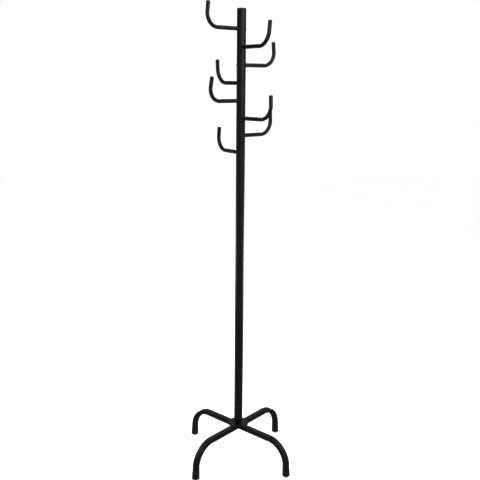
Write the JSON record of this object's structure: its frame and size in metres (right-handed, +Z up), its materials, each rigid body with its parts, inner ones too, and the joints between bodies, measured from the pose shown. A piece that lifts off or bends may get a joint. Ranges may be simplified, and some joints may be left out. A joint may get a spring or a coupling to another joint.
{
  "type": "coat stand",
  "caption": "Free-standing coat stand: round pole on bent square-tube legs, with upturned hooks in four directions stepping down its upper section.",
  "frame": {"origin": "on the floor, on the pole's axis, in the middle of the four feet", "axes": "+Z up along the pole; the legs point along the four diagonals between X and Y; the picture looks along +Y, with +X to the right"},
  "size_m": [0.3826, 0.3826, 1.7859],
  "materials": {
    "frame_paint": "black powder coat, satin",
    "black_plastic": "moulded, matt black",
    "black_fastener": "blackened steel, satin",
    "plain_steel": "bright drawn tube, inside the pole and hooks"
  },
  "bodies": {
    "stand": {"leg_back_right": "frame_paint", "foot_cap_back_right": "black_plastic", "leg_back_left": "frame_paint", "foot_cap_back_left": "black_plastic", "leg_front_left": "frame_paint", "foot_cap_front_left": "black_plastic", "leg_front_right": "frame_paint", "foot_cap_front_right": "black_plastic", "hub_plate": "frame_paint", "hub_socket": "frame_paint", "pole_fixing_screw": "black_fastener", "pole_lower": "frame_paint", "pole_middle": "frame_paint", "joint_sleeve_lower": "plain_steel", "joint_sleeve_upper": "plain_steel"},
    "pole_head": {"pole_upper": "frame_paint", "pole_top_cap": "black_plastic", "hook_1_saddle": "black_plastic", "hook_1_bolt": "black_fastener", "hook_2_saddle": "black_plastic", "hook_2_bolt": "black_fastener", "hook_3_saddle": "black_plastic", "hook_3_bolt": "black_fastener", "hook_4_saddle": "black_plastic", "hook_4_bolt": "black_fastener", "hook_5_saddle": "black_plastic", "hook_5_bolt": "black_fastener", "hook_6_saddle": "black_plastic", "hook_6_bolt": "black_fastener", "hook_7_saddle": "black_plastic", "hook_7_bolt": "black_fastener", "hook_8_saddle": "black_plastic", "hook_8_bolt": "black_fastener"},
    "hook_1": {"hook_1_tube": "frame_paint", "hook_1_insert": "plain_steel", "hook_1_tip_cap": "black_plastic"},
    "hook_2": {"hook_2_tube": "frame_paint", "hook_2_insert": "plain_steel", "hook_2_tip_cap": "black_plastic"},
    "hook_3": {"hook_3_tube": "frame_paint", "hook_3_insert": "plain_steel", "hook_3_tip_cap": "black_plastic"},
    "hook_4": {"hook_4_tube": "frame_paint", "hook_4_insert": "plain_steel", "hook_4_tip_cap": "black_plastic"},
    "hook_5": {"hook_5_tube": "frame_paint", "hook_5_insert": "plain_steel", "hook_5_tip_cap": "black_plastic"},
    "hook_6": {"hook_6_tube": "frame_paint", "hook_6_insert": "plain_steel", "hook_6_tip_cap": "black_plastic"},
    "hook_7": {"hook_7_tube": "frame_paint", "hook_7_insert": "plain_steel", "hook_7_tip_cap": "black_plastic"},
    "hook_8": {"hook_8_tube": "frame_paint", "hook_8_insert": "plain_steel", "hook_8_tip_cap": "black_plastic"}
  },
  "joints": [
    {"name": "pole_head_turn", "type": "hinge", "parent": "stand", "child": "pole_head", "pos_m": [0, 0, 1.156], "axis": [0, 0, 1], "continuous": true},
    {"name": "hook_1_swivel", "type": "hinge", "parent": "pole_head", "child": "hook_1", "pos_m": [-0.01542, -0.0104, 1.6995], "axis": [-0.829, -0.5592, 0], "continuous": true},
    {"name": "hook_2_swivel", "type": "hinge", "parent": "pole_head", "child": "hook_2", "pos_m": [0.00986, -0.01577, 1.6356], "axis": [0.5299, -0.848, 0], "continuous": true},
    {"name": "hook_3_swivel", "type": "hinge", "parent": "pole_head", "child": "hook_3", "pos_m": [0.01577, 0.00986, 1.5717], "axis": [0.848, 0.5299, 0], "continuous": true},
    {"name": "hook_4_swivel", "type": "hinge", "parent": "pole_head", "child": "hook_4", "pos_m": [-0.0093, 0.01611, 1.5078], "axis": [-0.5, 0.866, 0], "continuous": true},
    {"name": "hook_5_swivel", "type": "hinge", "parent": "pole_head", "child": "hook_5", "pos_m": [-0.01445, -0.01171, 1.4439], "axis": [-0.7771, -0.6293, 0], "continuous": true},
    {"name": "hook_6_swivel", "type": "hinge", "parent": "pole_head", "child": "hook_6", "pos_m": [0.01171, -0.01445, 1.38], "axis": [0.6293, -0.7771, 0], "continuous": true},
    {"name": "hook_7_swivel", "type": "hinge", "parent": "pole_head", "child": "hook_7", "pos_m": [0.01466, 0.01145, 1.3161], "axis": [0.788, 0.6157, 0], "continuous": true},
    {"name": "hook_8_swivel", "type": "hinge", "parent": "pole_head", "child": "hook_8", "pos_m": [-0.0093, 0.01611, 1.2522], "axis": [-0.5, 0.866, 0], "continuous": true}
  ]
}
